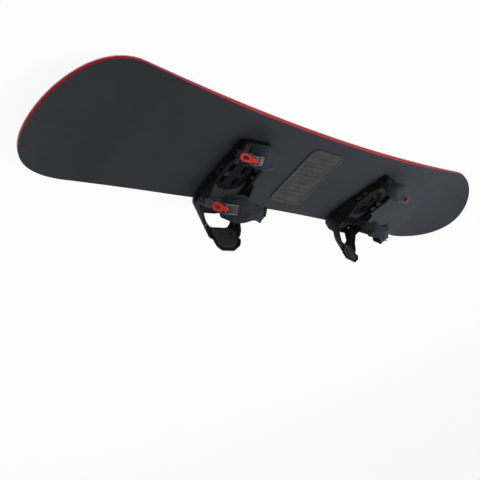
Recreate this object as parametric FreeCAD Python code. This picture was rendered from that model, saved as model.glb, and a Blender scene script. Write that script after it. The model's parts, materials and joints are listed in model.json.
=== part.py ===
"""Snowboard with two strap bindings, modelled the way the real one is assembled.

Frame: X runs along the board from nose (-X) to tail (+X), Y across it with the toe
edge on +Y, Z up from the snow side.  The origin is the centre of the flat running
base.  All lengths are millimetres and all angles are degrees.
"""
import FreeCAD, Part
import os
from math import cos, radians, sin, sqrt

os.makedirs("parts", exist_ok=True)
V = FreeCAD.Vector

# ---------------------------------------------------------------- board, driving sizes
board_length = 1580.0
tip_radius = 158.0          # round of the nose and tail, half their width
waist_width = 262.0
running_half = 616.0        # half length of the flat running base
kick_height = 44.0          # rise of the base at the very tip
thick_mid = 16.0
thick_tip = 8.5
taper_start = 350.0         # the core thins from here to the contact point
base_sheet_t = 1.3
edge_height = 2.0
edge_width = 2.2
laminate_t = 0.7
topsheet_t = 0.6
sidewall_width = 8.0
core_overrun = 70.0         # how far the wood core reaches past the contact point

insert_rows = 40.0          # spacing of the two insert rows across the board
insert_pitch = 20.0         # spacing of the inserts along the board
insert_columns = 5
insert_shift = -18.0        # insert packs lie this far toward the heel edge
insert_radius = 4.5
insert_flange_radius = 7.0
insert_flange_t = 1.2
insert_floor = 1.0          # laminate and core left under an insert's flange
thread_radius = 3.05

stomp_length = 128.0
stomp_width = 190.0
stomp_x = -5.0
stomp_t = 2.2
stomp_corner = 20.0
stomp_rim = 7.0
stomp_rim_t = 1.2
stomp_bar_width = 5.0
stomp_bar_pitch = 15.0
stomp_bar_inset = 12.0

# ------------------------------------------------------------ bindings, driving sizes
# Each binding has its own frame: U points to the outside of the foot, V to the toes,
# W up from the topsheet.  The disc's centre is the binding's origin.
bindings = {
    "front": {"x": -250.0, "y": -30.0, "turn": -5.0, "outside": -1},
    "rear": {"x": 296.0, "y": -25.0, "turn": 14.0, "outside": 1},
}
plate_half = 57.5
plate_heel = 129.5          # reach of the baseplate behind the disc's centre
plate_toe = 101.0
plate_toe_half = plate_half - 23.5
plate_toe_round = 4.5        # how far the rounded toe corners bulge past a straight cut
plate_strap_half = plate_half - 7.5     # narrower where the toe strap is bolted on
plate_shoulder = plate_toe - 62.0       # where the plate starts to narrow toward the toes
plate_strap_start = plate_toe - 42.0
plate_strap_end = plate_toe - 14.0
plate_corner = 42.0
plate_floor_t = 7.0
rail_width = 9.0
rail_height = 26.0
rail_toe_height = 15.0
rail_rise_start = 31.5 - plate_heel     # the rails rise from the heel to full height
rail_rise_end = 45.5 - plate_heel
heel_height = 17.0
rail_window_starts = (-10.0, 12.0)
rail_window_length = 14.0
rail_window_lean = 3.0
rail_window_low = 13.0
rail_window_high = 21.0
toe_slot_half = 26.0
toe_slot_start = plate_toe - 36.0
toe_slot_end = plate_toe - 10.0
toe_slot_corner = 8.0
gasket_t = 1.5
disc_lip_t = 4.0
disc_slot_travel = 12.0     # screws can sit this far either side of a slot's middle
disc_slot_edge = 6.26       # material kept round the outermost screws
disc_step_radius = sqrt(insert_pitch ** 2 + (insert_rows / 2 + disc_slot_travel) ** 2) + disc_slot_edge
disc_radius = disc_step_radius + 6.0
screw_radius = 3.0
screw_head_radius = 6.0
screw_head_t = 3.0
screw_grip = 7.0            # thread length that enters an insert
screw_socket_radius = 2.6
screw_socket_depth = 1.9
hoop_wall = 4.0
hoop_play = 0.5             # room between the hoop's inside and the baseplate
hoop_front = -16.0
hoop_foot = 3.0
hoop_arm = 32.0
hoop_rim = 104.0
# The hoop's sloping top edge: distance ahead of the baseplate's heel, and height.
hoop_slope = [(85.5, 42.0), (55.0, 48.0), (38.5, 51.0), (24.5, 73.0), (18.0, 92.0), (11.0, hoop_rim)]
hoop_window_low = 19.0
hoop_window_high = 68.0
hoop_window_half = plate_half - 4.5     # the window runs round both corners of the heel
hoop_window_corner = 8.0
hoop_window_shoulder = 14.0
hoop_window_lean = 6.0
hoop_slot_start = 30.5 - plate_heel
hoop_slot_end = hoop_slot_start + 24.0
hoop_slot_low = 11.0
hoop_slot_high = 19.0
hoop_bolt_places = [(-32.0, 19.0), (-56.0, 19.0)]
hoop_bolt_head_t = 2.2
pivot_v = 39.5 - plate_heel  # highback hinge axis
pivot_w = 36.0
pivot_radius = 4.0
pivot_head_radius = 7.5
pivot_head_t = 2.6
pivot_nut_t = 2.0
back_top = 142.0
back_foot = 73.0
back_lug = 10.0             # half size of the highback's ears round the pivots
back_shoulder = 34.0        # the highback narrows over this height to its top
back_wall = 4.0
back_inset = 2.4            # the highback's outside lies this far inside the hoop
back_top_half = plate_half - 21.5
back_slot_low = 96.0
back_slot_high = 128.0
back_slot_near = 18.0       # edges of the highback's two slots from its middle
back_slot_far = 30.0
back_pad_t = 5.0
back_pad_margin = 7.0
lean_width = 30.0
lean_height = 22.0
lean_depth = 9.0
lean_corner = 3.5
lean_grip = 3.0
footbed_t = 7.0
toe_pad_t = 9.0
heel_pad_front = -14.0
toe_pad_back = 14.0
toe_pad_ramp = 62.0
footbed_grooves = (-104.0, -92.0, -80.0)
footbed_groove_half = 30.0
footbed_groove_width = 4.0
footbed_groove_depth = 1.5
gap = 0.3                   # clearance between pieces that move past each other
fit = 0.06                  # radial clearance of a turning pin
seat_gap = 0.05             # radial clearance of a fixed pin or screw

ankle = {
    "half": plate_half - 5.5, "shoulder": 68.0, "rise": 34.0, "tilt": 52.0,
    "v": 57.5 - plate_heel, "w": 40.0,
}
ankle_pad_t = 10.0
ankle_pad_start = -14.0
ankle_pad_end = 155.0
# Pad outlines drawn flat: distance across the foot, edge toward the toes, edge toward
# the heel.  The ankle pad is a wide lobe over the instep, a neck and a flared end.
ankle_outline = [
    (70, -20, 18), (57, -28, 25), (46, -34, 29), (30, -36, 29), (18, -31, 27),
    (6, -20, 23), (-6, -16, 19), (-20, -15, 20), (-34, -17, 25), (-46, -19, 27),
    (-58, -20, 27)]
ankle_ladder_width = 18.0
ankle_ladder_stop = 48.0
ankle_tooth_pitch = 4.2
ankle_link_width = 20.0
ankle_link_start = 128.0
ankle_buckle_at = 9.0       # place of the buckle on the arch, degrees from the outside
toe = {
    "half": plate_strap_half - 6.0, "shoulder": 18.0, "rise": 27.0, "tilt": 64.0,
    "v": plate_toe - 28.0, "w": 19.0,
}
toe_pad_thick = 6.0
toe_cap_start = 20.0
toe_cap_end = 184.0
toe_outline = [
    (54, -14, 5), (44, -23, 11), (38, -28, 16), (24, -34, 21), (4, -36, 22),
    (-10, -35, 22), (-24, -31, 23), (-36, -25, 22), (-44, -17, 18), (-52, -9, 10)]
toe_ladder_width = 16.0
toe_ladder_stop = 66.0
toe_tooth_pitch = 6.0
toe_link_start = 160.0
toe_buckle_at = 36.0
ladder_t = 2.2
tooth_start = 8.0           # the ladder's teeth, in degrees round its arch
tooth_width = 1.6
tooth_depth = 0.7
link_t = 3.0
buckle_base_t = 2.0
strap_bolt_radius = 4.0
strap_head_radius = 8.5
strap_head_t = 2.6
strap_nut_t = 1.7
socket_radius = 2.8
cheek_t = 2.2
cheek_back = 4.0            # the buckle's cheeks along the strap, from its middle
cheek_front = 21.0
cheek_step = 8.0
lever_pin_radius = 1.6
lever_pin_place = 15.0
lever_t = 5.0
lever_tail = 11.0           # the lever's ring sits this far behind the buckle's middle
lever_float = 3.0           # the closed lever clears the ladder by this

top = thick_mid             # height of the topsheet where the bindings stand
hoop_half = plate_half + hoop_play + hoop_wall
hoop_heel = plate_heel + hoop_play + hoop_wall
far_away = 200.0            # reach of a cutting tool past everything it cuts
plate_top = gasket_t + plate_floor_t


# --------------------------------------------------------------------- small helpers
def face_of(edges):
    return Part.Face(Part.Wire(Part.__sortEdges__(edges)))


def polygon(points):
    return Part.Face(Part.makePolygon([V(*p) for p in points] + [V(*points[0])]))


def box(x0, x1, y0, y1, z0, z1):
    return Part.makeBox(x1 - x0, y1 - y0, z1 - z0, V(x0, y0, z0))


def rod(radius, start, end, y, z):
    """Cylinder along X."""
    return Part.makeCylinder(radius, end - start, V(start, y, z), V(1, 0, 0))


def across(radius, y, z):
    """A bore right through the binding from side to side."""
    return rod(radius, -far_away, far_away, y, z)


def both_sides(shape):
    return [shape, shape.mirror(V(0, 0, 0), V(1, 0, 0))]


def fuse(shapes):
    result = shapes[0]
    for shape in shapes[1:]:
        result = result.fuse(shape)
    return result.removeSplitter()


def cut_all(shape, tools):
    for tool in tools:
        shape = shape.cut(tool)
    return shape


def rounded_slab(x0, x1, y0, y1, z0, z1, radius):
    slab = box(x0, x1, y0, y1, z0, z1)
    upright = [e for e in slab.Edges if abs(e.tangentAt(e.FirstParameter).z) > 0.99]
    return slab.makeFillet(radius, upright)


def export(name, shapes):
    if not isinstance(shapes, (list, tuple)):
        shapes = [shapes]
    solids = [solid for shape in shapes for solid in shape.Solids]
    Part.makeCompound(solids).exportStep("parts/%s.step" % name)


# ------------------------------------------------------------------------- the board
def board_prism(inset):
    """The plan outline, moved in by inset, as a tall prism.

    Each side is one sidecut arc and each tip one arc, and they meet tangentially.
    """
    tip_centre = V(board_length / 2 - tip_radius, 0, 0)
    half_waist = waist_width / 2
    spare = tip_centre.x ** 2 + half_waist ** 2 - tip_radius ** 2
    sidecut_radius = spare / (2 * (tip_radius - half_waist))
    side_centre = V(0, half_waist + sidecut_radius, 0)
    meet = tip_centre + (side_centre - tip_centre).normalize() * (tip_radius - inset)

    def arc(*points):
        return Part.Arc(*[V(x, y, 0) for x, y in points]).toShape()

    waist = half_waist - inset
    end = board_length / 2 - inset
    edges = [arc((-meet.x, s * meet.y), (0, s * waist), (meet.x, s * meet.y)) for s in (1, -1)]
    edges += [arc((s * meet.x, meet.y), (s * end, 0), (s * meet.x, -meet.y)) for s in (1, -1)]
    prism = face_of(edges).extrude(V(0, 0, 200))
    prism.translate(V(0, 0, -50))
    return prism


def side_curve(height, from_top):
    """Edges of one layer boundary in the XZ plane, from the nose to the tail."""
    run = board_length / 2 + 30 - running_half
    kick_run = board_length / 2 - running_half
    kick_radius = (kick_run ** 2 + kick_height ** 2) / (2 * kick_height)
    tip_z = thick_tip - height if from_top else height
    mid_z = thick_mid - height if from_top else height
    radius = kick_radius - tip_z
    half_run = run / 2
    mid = V(running_half + half_run, 0, kick_radius - sqrt(radius ** 2 - half_run ** 2))
    end = V(running_half + run, 0, kick_radius - sqrt(radius ** 2 - run ** 2))
    contact = V(running_half, 0, tip_z)
    flat = V(taper_start, 0, mid_z)

    def nose(point):
        return V(-point.x, 0, point.z)

    edges = [Part.Arc(nose(end), nose(mid), nose(contact)).toShape()]
    if from_top:
        edges.append(Part.makeLine(nose(contact), nose(flat)))
        edges.append(Part.makeLine(nose(flat), flat))
        edges.append(Part.makeLine(flat, contact))
    else:
        edges.append(Part.makeLine(nose(contact), contact))
    edges.append(Part.Arc(contact, mid, end).toShape())
    return edges, nose(end), end


def layer(low, high):
    """A full-width slab between two boundaries, each given as (height, from_top)."""
    low_edges, low_nose, low_tail = side_curve(*low)
    high_edges, high_nose, high_tail = side_curve(*high)
    closing = [Part.makeLine(low_nose, high_nose), Part.makeLine(low_tail, high_tail)]
    slab = face_of(low_edges + high_edges + closing).extrude(V(0, 4 * tip_radius, 0))
    slab.translate(V(0, -2 * tip_radius, 0))
    return slab


def insert_places():
    for binding in bindings.values():
        for column in range(insert_columns):
            x = binding["x"] + (column - (insert_columns - 1) / 2) * insert_pitch
            for row in (-0.5, 0.5):
                yield x, insert_shift + row * insert_rows


def insert_bores(radius, bottom):
    return [Part.makeCylinder(radius, 60, V(x, y, bottom)) for x, y in insert_places()]


def make_inserts():
    foot = edge_height + insert_floor
    inserts = []
    for x, y in insert_places():
        body = Part.makeCylinder(insert_radius, top - foot, V(x, y, foot))
        flange = Part.makeCylinder(insert_flange_radius, insert_flange_t, V(x, y, foot))
        bore = Part.makeCylinder(thread_radius, 60, V(x, y, foot + insert_flange_t))
        inserts.append(body.fuse(flange).cut(bore))
    return inserts


def make_board():
    outer = board_prism(0)
    inside_edge = board_prism(edge_width)
    inside_wall = board_prism(sidewall_width)
    base = (0, False)
    sheet = (base_sheet_t, False)
    edge = (edge_height, False)
    under_skin = (topsheet_t, True)
    under_laminate = (topsheet_t + laminate_t, True)
    surface = (0, True)

    export("base_sheet", layer(base, sheet).common(inside_edge))
    export("steel_edge", layer(base, edge).common(outer).cut(inside_edge))
    export("lower_laminate", layer(sheet, edge).common(inside_edge))
    export("sidewall", layer(edge, under_skin).common(outer).cut(inside_wall))

    filling = layer(edge, under_laminate).common(inside_wall)
    core_end = running_half + core_overrun
    middle = box(-core_end, core_end, -2 * tip_radius, 2 * tip_radius, -50, 150)
    foot = edge_height + insert_floor
    pockets = insert_bores(insert_radius + seat_gap, foot)
    for x, y in insert_places():
        flange_t = insert_flange_t + seat_gap
        pockets.append(Part.makeCylinder(insert_flange_radius + seat_gap, flange_t, V(x, y, foot)))
    export("wood_core", cut_all(filling.common(middle), pockets))
    export("tip_spacers", filling.cut(middle))

    bores = insert_bores(insert_radius + seat_gap, foot)
    export("upper_laminate", cut_all(layer(under_laminate, under_skin).common(inside_wall), bores))
    export("topsheet", cut_all(layer(under_skin, surface).common(outer), bores))
    export("binding_inserts", make_inserts())


def make_stomp_pad():
    half_x = stomp_length / 2
    half_y = stomp_width / 2
    pad = rounded_slab(-half_x, half_x, -half_y, half_y, 0, stomp_t + stomp_rim_t, stomp_corner)
    inner_x = half_x - stomp_rim
    inner_y = half_y - stomp_rim
    corner = stomp_corner - stomp_rim
    tall = stomp_t + 10
    pad = pad.cut(rounded_slab(-inner_x, inner_x, -inner_y, inner_y, stomp_t, tall, corner))
    bars = []
    count = int((2 * inner_y - stomp_bar_pitch) / stomp_bar_pitch)
    for index in range(count):
        y = (index - (count - 1) / 2) * stomp_bar_pitch
        low = y - stomp_bar_width / 2
        end = inner_x - stomp_bar_inset
        bars.append(box(-end, end, low, low + stomp_bar_width, stomp_t - 0.5, stomp_t + stomp_rim_t))
    pad = fuse([pad] + bars)
    pad.translate(V(stomp_x, 0, top))
    export("stomp_pad", pad)


# ------------------------------------------------------------- binding, chassis parts
def heel_plan(half, heel, corner, front):
    """Round-heeled plan outline, cut square at the front, as a face at height 0."""
    start = -heel + corner
    turn = corner * (1 - sqrt(0.5))
    edges = [Part.makeLine(V(-half + corner, -heel, 0), V(half - corner, -heel, 0))]
    edges.append(Part.makeLine(V(-half, front, 0), V(half, front, 0)))
    for s in (1, -1):
        edges.append(Part.makeLine(V(s * half, front, 0), V(s * half, start, 0)))
        middle = V(s * (half - turn), -heel + turn, 0)
        arc = Part.Arc(V(s * half, start, 0), middle, V(s * (half - corner), -heel, 0))
        edges.append(arc.toShape())
    return face_of(edges)


def heel_solid(half, heel, corner, front, low, high):
    solid = heel_plan(half, heel, corner, front).extrude(V(0, 0, high - low))
    solid.translate(V(0, 0, low))
    return solid


def side_prism(points, half=100.0):
    """A (v, w) polygon spread across the binding."""
    face = polygon([(-half, v, w) for v, w in points])
    return face.extrude(V(2 * half, 0, 0))


def back_prism(points, near=-200.0, far=0.0):
    """A (u, w) polygon spread from near to far along V."""
    face = polygon([(u, near, w) for u, w in points])
    return face.extrude(V(0, far - near, 0))


def plate_outline(inset, front, low, high):
    """The baseplate's plan, moved in by inset and cut square at front, as a solid."""
    half = plate_half - inset
    waist = plate_strap_half - inset
    solid = heel_solid(half, plate_heel - inset, plate_corner - inset, front, low, high)
    toe_half = plate_toe_half - inset
    past = plate_toe + 20
    side = [
        (toe_half, plate_toe), (toe_half, past), (half + 20, past), (half + 20, plate_shoulder),
        (half, plate_shoulder), (waist, plate_strap_start), (waist, plate_strap_end)]
    points = [V(u, v, low) for u, v in side]
    bulge = (points[0] + points[-1]) * 0.5 + V(plate_toe_round * 0.7, plate_toe_round * 0.7, 0)
    edges = [Part.Arc(points[-1], bulge, points[0]).toShape()]
    edges += [Part.makeLine(a, b) for a, b in zip(points, points[1:])]
    trim = face_of(edges).extrude(V(0, 0, high - low))
    return cut_all(solid, both_sides(trim))


def make_baseplate():
    floor = plate_outline(0, plate_toe, gasket_t, plate_top)
    wall = plate_outline(0, plate_toe, plate_top, rail_height)
    inside = plate_outline(rail_width, plate_toe + 5, 0, 60)
    behind = -plate_heel - 5
    profile = [
        (behind, 0), (behind, heel_height), (rail_rise_start, heel_height),
        (rail_rise_end, rail_height), (plate_strap_end - 4, rail_height),
        (plate_toe, rail_toe_height), (plate_toe, 0),
    ]
    rails = wall.cut(inside).common(side_prism(profile))
    plate = fuse([floor, rails])
    step = Part.makeCylinder(disc_step_radius + gap, 60, V(0, 0, 0))
    lip = Part.makeCylinder(disc_radius + gap, 60, V(0, 0, plate_top - disc_lip_t))
    plate = cut_all(plate, [step, lip])
    holes = [across(screw_radius + seat_gap, v, w) for v, w in hoop_bolt_places]
    holes.append(across(strap_bolt_radius + seat_gap, toe["v"], toe["w"]))
    for v in rail_window_starts:
        end = v + rail_window_length
        holes.append(side_prism([
            (v, rail_window_low), (end, rail_window_low),
            (end + rail_window_lean, rail_window_high), (v + rail_window_lean, rail_window_high)]))
    half = toe_slot_half
    holes.append(rounded_slab(-half, half, toe_slot_start, toe_slot_end, -5, 60, toe_slot_corner))
    return cut_all(plate, holes)


def make_gasket():
    pad = plate_outline(0, plate_toe, 0, gasket_t)
    return pad.cut(Part.makeCylinder(disc_step_radius + 2, 20, V(0, 0, -5)))


def screw_offsets(binding):
    """Insert positions used by the disc, in board directions from the disc's centre."""
    for x in (-insert_pitch, insert_pitch):
        for row in (-0.5, 0.5):
            yield x, insert_shift - binding["y"] + row * insert_rows


def make_disc(binding):
    """The round mounting disc and its screws, in board directions."""
    step = Part.makeCylinder(disc_step_radius, plate_top - disc_lip_t - gap, V(0, 0, gap))
    lip = Part.makeCylinder(disc_radius, disc_lip_t, V(0, 0, plate_top - disc_lip_t))
    disc = step.fuse(lip)
    seat = plate_top - screw_head_t
    for x in (-insert_pitch, insert_pitch):
        for y in (-insert_rows / 2, insert_rows / 2):
            near = y - disc_slot_travel
            far = y + disc_slot_travel
            for radius, floor in ((screw_radius + gap, -5), (screw_head_radius + gap, seat)):
                ends = [Part.makeCylinder(radius, 40, V(x, end, floor)) for end in (near, far)]
                disc = cut_all(disc, ends + [box(x - radius, x + radius, near, far, floor, floor + 40)])
    screws = []
    for x, y in screw_offsets(binding):
        shank = Part.makeCylinder(screw_radius, seat + screw_grip, V(x, y, -screw_grip))
        head = Part.makeCylinder(screw_head_radius, screw_head_t, V(x, y, seat))
        socket = Part.makeCylinder(screw_socket_radius, 5, V(x, y, plate_top - screw_socket_depth))
        screws.append(shank.fuse(head).cut(socket))
    return disc, screws


def hoop_window_outline():
    low = hoop_window_low
    high = hoop_window_high
    half = hoop_window_half
    corner = hoop_window_corner
    shoulder = hoop_window_shoulder
    lean = hoop_window_lean
    right = [
        (half - corner, low), (half, low + corner), (half - lean, high - shoulder),
        (half - lean - shoulder, high),
    ]
    return right + [(-u, w) for u, w in reversed(right)]


def make_heelcup():
    corner = plate_corner + hoop_play
    inner_half = hoop_half - hoop_wall
    inner_heel = hoop_heel - hoop_wall
    outside = heel_solid(hoop_half, hoop_heel, corner + hoop_wall, hoop_front, hoop_foot, hoop_rim)
    inside = heel_solid(inner_half, inner_heel, corner, hoop_front + 5, 0, 200)
    behind = -hoop_heel - 5
    profile = [(hoop_front, hoop_foot), (hoop_front, hoop_arm)]
    profile += [(ahead - plate_heel, w) for ahead, w in hoop_slope]
    profile += [(behind, hoop_rim), (behind, hoop_foot)]
    hoop = outside.cut(inside).common(side_prism(profile))
    tools = [back_prism(hoop_window_outline(), far=-plate_heel + 35)]
    tools += [across(screw_radius + seat_gap, v, w) for v, w in hoop_bolt_places]
    tools.append(across(strap_bolt_radius + seat_gap, ankle["v"], ankle["w"]))
    tools.append(across(pivot_radius + seat_gap, pivot_v, pivot_w))
    tools.append(side_prism([
        (hoop_slot_start, hoop_slot_low), (hoop_slot_end, hoop_slot_low),
        (hoop_slot_end, hoop_slot_high), (hoop_slot_start, hoop_slot_high)]))
    return cut_all(hoop, tools)


def make_heelcup_bolts():
    bolts = []
    for v, w in hoop_bolt_places:
        shank = rod(screw_radius, plate_half - rail_width, hoop_half, v, w)
        head = rod(screw_head_radius, hoop_half, hoop_half + hoop_bolt_head_t, v, w)
        socket = rod(screw_socket_radius, hoop_half + 0.8, hoop_half + 5, v, w)
        bolts += both_sides(shank.fuse(head).cut(socket))
    return bolts


def make_footbeds():
    clear_disc = Part.makeCylinder(disc_radius + 1.5, 60, V(0, 0, 0))
    floor = plate_outline(rail_width + gap, plate_toe - 4, plate_top, plate_top + toe_pad_t)
    nut_room = across(strap_head_radius - 1, toe["v"], toe["w"])
    middle = plate_strap_half - rail_width - 3
    nut_room = nut_room.cut(box(-middle, middle, 0, far_away, 0, 60))
    floor = cut_all(floor, [clear_disc, nut_room])
    heel_top = plate_top + footbed_t
    heel_profile = [
        (-far_away, 0), (-far_away, heel_top), (heel_pad_front, heel_top), (heel_pad_front, 0)]
    toe_profile = [
        (toe_pad_back, 0), (toe_pad_back, heel_top - 2), (toe_pad_ramp, heel_top - 2),
        (plate_toe, plate_top + toe_pad_t), (plate_toe, 0),
    ]
    heel_pad = floor.common(side_prism(heel_profile))
    toe_pad = floor.common(side_prism(toe_profile))
    half = footbed_groove_half
    for v in footbed_grooves:
        end = v + footbed_groove_width
        heel_pad = heel_pad.cut(box(-half, half, v, end, heel_top - footbed_groove_depth, 60))
    return heel_pad, toe_pad


# ------------------------------------------------------------------ binding, highback
def highback_shell(inset, thickness, low, high):
    """Upright shell inside the hoop; inset is its distance from the hoop's inner wall."""
    half = hoop_half - hoop_wall - inset
    heel = hoop_heel - hoop_wall - inset
    corner = plate_corner + hoop_play - inset
    shell = heel_solid(half, heel, corner, pivot_v + 2 * back_lug, low, high)
    within = heel_solid(half - thickness, heel - thickness, corner - thickness, 50, 0, 300)
    return shell.cut(within)


def highback_outline(margin):
    half = hoop_half + 5
    crown = back_top_half - margin
    right = [
        (half, pivot_w - 20), (half, back_slot_low),
        (plate_half - 10 - margin, back_top - back_shoulder),
        (crown, back_top - 10 - margin), (crown - 18, back_top - margin),
    ]
    return right + [(-u, w) for u, w in reversed(right)]


def highback_side():
    """The highback seen from the side: ears round the pivots and arms up to the shell."""
    ear = back_lug
    behind = -plate_heel - 20
    high = back_top + 5
    return [
        (pivot_v + ear, pivot_w - 4), (pivot_v + ear, pivot_w + 4), (pivot_v + 4, pivot_w + ear),
        (pivot_v - 4, pivot_w + ear), (pivot_v - 11, pivot_w + 19), (pivot_v - 23, back_foot),
        (pivot_v - 27, hoop_rim - 12), (pivot_v - 28, hoop_rim), (pivot_v - 24, hoop_rim + 14),
        (pivot_v - 27, high), (behind, high), (behind, back_foot), (pivot_v - 32, back_foot),
        (pivot_v - 24, pivot_w + 19), (pivot_v - ear, pivot_w - 4), (pivot_v - 4, pivot_w - ear),
        (pivot_v + 4, pivot_w - ear),
    ]


def make_highback():
    shell = highback_shell(back_inset, back_wall, pivot_w - back_lug, back_top)
    shell = shell.common(back_prism(highback_outline(0)))
    shell = shell.common(side_prism(highback_side()))
    slot = [
        (back_slot_near, back_slot_low), (back_slot_far, back_slot_low),
        (back_slot_far - 3, back_slot_high), (back_slot_near + 2, back_slot_high),
    ]
    return cut_all(shell, both_sides(back_prism(slot)) + [across(pivot_radius + fit, pivot_v, pivot_w)])


def make_highback_pad():
    low = back_foot + 5
    shell = highback_shell(back_inset + back_wall, back_pad_t, low, back_top)
    shell = shell.common(back_prism(highback_outline(back_pad_margin)))
    behind = -plate_heel - 20
    front = pivot_v - 26
    side = [(front, low), (front - 3, back_top), (behind, back_top), (behind, low)]
    return shell.common(side_prism(side))


def make_highback_pivots():
    inner = hoop_half - hoop_wall - back_inset - back_wall
    start = hoop_half + 0.2
    shank = rod(pivot_radius, inner - 2.5, start, pivot_v, pivot_w)
    head = rod(pivot_head_radius, start, start + pivot_head_t, pivot_v, pivot_w)
    nut = rod(pivot_head_radius - 1, inner - 1.2 - pivot_nut_t, inner - 1.2, pivot_v, pivot_w)
    socket = rod(screw_socket_radius, hoop_half + 1.2, hoop_half + 9, pivot_v, pivot_w)
    return both_sides(fuse([shank, head, nut]).cut(socket))


def make_lean_adjuster():
    back = -hoop_heel + hoop_wall + back_inset - gap
    low = hoop_rim + gap
    half = lean_width / 2
    face = back - lean_depth
    block = rounded_slab(-half, half, face, back, low, low + lean_height, lean_corner)
    grip = box(-half - 1, half + 1, face - 1, face + 2, low + 8, low + 8 + lean_grip)
    return cut_all(block, [grip, grip.translated(V(0, 0, 2 * lean_grip))])


# ------------------------------------------------------------------- binding, straps
# A strap is drawn flat: x across the foot, y up the arch, z along the strap's width.
# Its arch is two straight sides and half an ellipse.  Places on it are degrees on the
# ellipse from the outside (0) to the inside (180); below 0 and above 180 they are
# millimetres down the straight sides.
def arch_point(arch, offset, place):
    a = arch["half"] + offset
    b = arch["rise"] + offset
    if place < 0:
        return V(a, arch["shoulder"] + place, 0)
    if place > 180:
        return V(-a, arch["shoulder"] - (place - 180), 0)
    return V(a * cos(radians(place)), arch["shoulder"] + b * sin(radians(place)), 0)


def arch_path(arch, offset, start, stop):
    middle = V(0, arch["shoulder"], 0)
    ellipse = Part.Ellipse(middle, arch["half"] + offset, arch["rise"] + offset)
    edges = []
    if start < 0:
        edges.append(Part.makeLine(arch_point(arch, offset, start), arch_point(arch, offset, 0)))
    first = radians(max(start, 0))
    last = radians(min(stop, 180))
    if last > first:
        edges.append(Part.ArcOfEllipse(ellipse, first, last).toShape())
    if stop > 180:
        foot = arch_point(arch, offset, stop)
        edges.append(Part.makeLine(arch_point(arch, offset, 180), foot))
    return edges


def band(arch, inner, outer, start, stop, low, high):
    edges = arch_path(arch, inner, start, stop) + arch_path(arch, outer, start, stop)
    for place in (start, stop):
        edges.append(Part.makeLine(arch_point(arch, inner, place), arch_point(arch, outer, place)))
    strip = face_of(edges).extrude(V(0, 0, high - low))
    strip.translate(V(0, 0, low))
    return strip


def smooth_edge(points):
    curve = Part.BSplineCurve()
    curve.interpolate([V(x, -60, z) for x, z in points])
    return curve.toShape()


def plan_cut(outline):
    """A pad's smooth outline over the flat strap, from (x, toe edge, heel edge) rows."""
    toe_side = [(x, z) for x, z, _ in outline]
    heel_side = [(x, z) for x, _, z in outline]
    edges = [smooth_edge(toe_side), smooth_edge(heel_side)]
    for near, far in ((toe_side[0], heel_side[0]), (toe_side[-1], heel_side[-1])):
        edges.append(Part.makeLine(V(near[0], -60, near[1]), V(far[0], -60, far[1])))
    return face_of(edges).extrude(V(0, 260, 0))


def on_arch(shape, arch):
    """Move a strap piece from its flat drawing to its place on the binding."""
    moved = shape.copy()
    moved.rotate(V(0, 0, 0), V(1, 0, 0), arch["tilt"])
    moved.translate(V(0, arch["v"], arch["w"]))
    return moved


def eye(arch, offset, thickness, width, side):
    """Round strap end about its bolt; the bolt's hole is cut later."""
    start = arch["half"] + offset
    disc = Part.makeCylinder(width / 2, thickness, V(start, 0, 0), V(1, 0, 0))
    return disc if side > 0 else disc.mirror(V(0, 0, 0), V(1, 0, 0))


def bolt_hole():
    return Part.makeCylinder(strap_bolt_radius + fit, 300, V(-150, 0, 0), V(1, 0, 0))


def make_ladder(arch, pad_t, width, stop, tooth_pitch):
    offset = pad_t + buckle_base_t + 2 * gap
    half = width / 2
    strip = band(arch, offset, offset + ladder_t, -arch["shoulder"], stop, -half, half)
    ladder = fuse([strip, eye(arch, offset, ladder_t, width, 1)])
    floor = offset + ladder_t - tooth_depth
    teeth = []
    for step in range(int((stop - tooth_start) / tooth_pitch)):
        place = tooth_start + step * tooth_pitch
        end = place + tooth_width
        teeth.append(band(arch, floor, offset + 5, place, end, 4 - half, half - 4))
    return cut_all(ladder, teeth + [bolt_hole()])


def make_link(arch, pad_t, width, start):
    offset = pad_t + gap
    stop = 180 + arch["shoulder"]
    strip = band(arch, offset, offset + link_t, start, stop, -width / 2, width / 2)
    return fuse([strip, eye(arch, offset, link_t, width, -1)]).cut(bolt_hole())


def buckle_frame_axes(arch, pad_t, at):
    """Origin, tangent and outward normal of a buckle, in the strap's flat drawing."""
    a = arch["half"] + pad_t
    b = arch["rise"] + pad_t
    tangent = V(-a * sin(radians(at)), b * cos(radians(at)), 0).normalize()
    return arch_point(arch, pad_t, at), tangent, V(tangent.y, -tangent.x, 0)


def in_buckle_axes(shape, arch, pad_t, at):
    origin, tangent, normal = buckle_frame_axes(arch, pad_t, at)
    moved = shape.copy()
    turn = FreeCAD.Rotation(tangent, V(0, 0, 1), normal, "ZXY")
    moved.Placement = FreeCAD.Placement(origin, turn)
    return moved


def lever_pin_height():
    return buckle_base_t + 2 * gap + ladder_t + lever_float + lever_t / 2


def lever_rod(radius, half_length):
    """Cylinder on the lever's hinge axis, in the buckle's own axes."""
    start = V(lever_pin_place, -half_length, lever_pin_height())
    return Part.makeCylinder(radius, 2 * half_length, start, V(0, 1, 0))


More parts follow.
